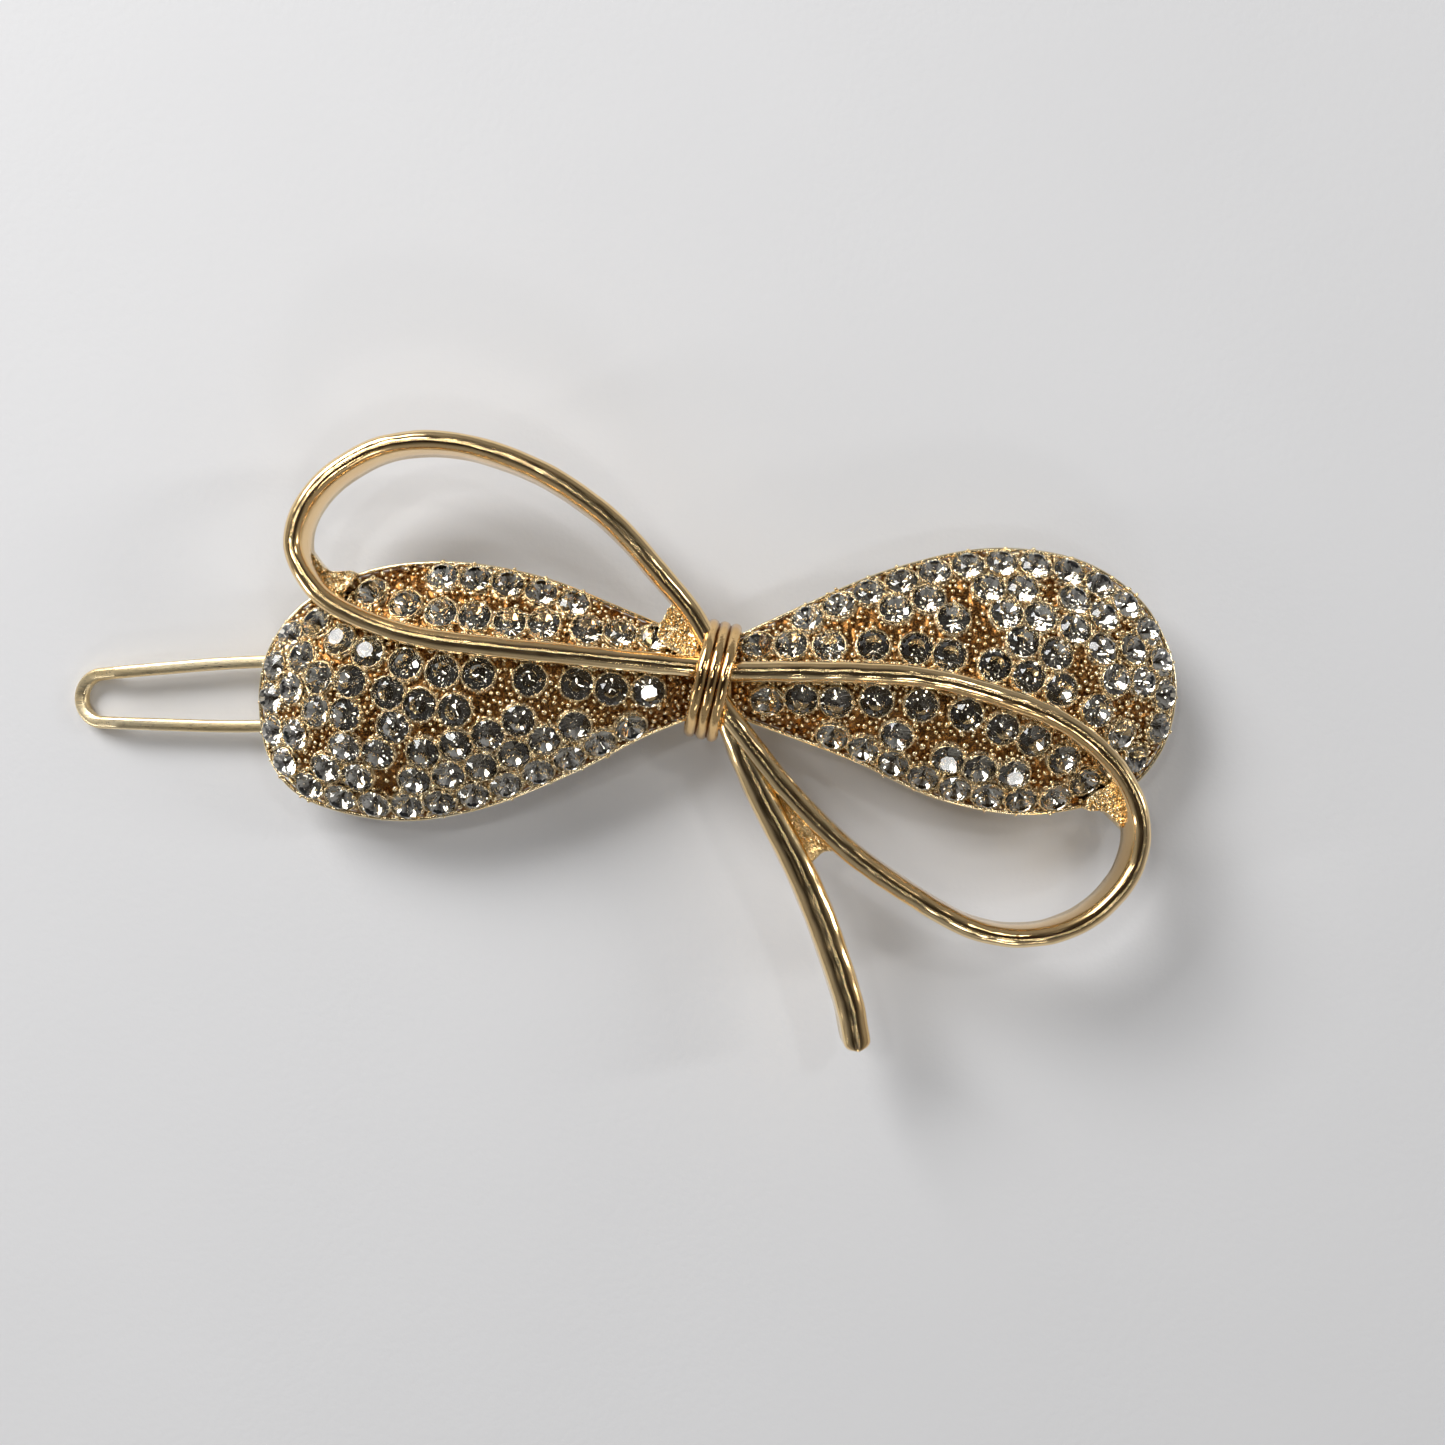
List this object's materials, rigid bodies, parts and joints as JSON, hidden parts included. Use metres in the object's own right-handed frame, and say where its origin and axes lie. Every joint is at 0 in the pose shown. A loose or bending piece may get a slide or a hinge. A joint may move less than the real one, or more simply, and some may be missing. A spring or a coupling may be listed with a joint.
{
  "type": "rhinestone hair clip",
  "caption": "Bow-shaped hair clip: two domed wings set with clear stones, ribbon loops, a tail and a knot, on a strip with a hinged wire bail that holds the hair.",
  "frame": {"origin": "on the underside of the clip strip, below the knot", "axes": "+Z out of the bow's face, +X along the bow away from the bail's free end, +Y across the bow towards the upper ribbon loop"},
  "size_m": [0.0757, 0.0406, 0.0093],
  "materials": {
    "cast_gold": "champagne gold plating over a cast, beaded ground",
    "polished_gold": "polished champagne gold plating with small casting marks",
    "wire_gold": "gold-plated flattened wire with a brushed top",
    "strip_gold": "gold-plated spring strip, satin",
    "solder": "dull solder",
    "stones": "clear faceted glass with a silvered back"
  },
  "bodies": {
    "bow": {"left_wing": "cast_gold", "right_wing": "cast_gold", "upper_ribbon_loop": "polished_gold", "lower_ribbon_loop": "polished_gold", "ribbon_tail": "polished_gold", "knot_band": "polished_gold", "knot_hub": "cast_gold", "clip_strip": "strip_gold", "solder_pads": "solder", "left_upper_stones_1": "stones", "left_upper_stones_2": "stones", "left_upper_stones_3": "stones", "left_lower_stones_1": "stones", "left_lower_stones_2": "stones", "left_lower_stones_3": "stones", "right_upper_stones_1": "stones", "right_upper_stones_2": "stones", "right_upper_stones_3": "stones", "right_lower_stones_1": "stones", "right_lower_stones_2": "stones", "right_lower_stones_3": "stones"},
    "bail": {"wire_bail": "wire_gold"}
  },
  "joints": [
    {"name": "bail_hinge", "type": "hinge", "parent": "bow", "child": "bail", "pos_m": [0.02079, 0.00054, -0.0015], "axis": [0.0262, -0.9997, 0], "range_deg": [0, 75]}
  ]
}
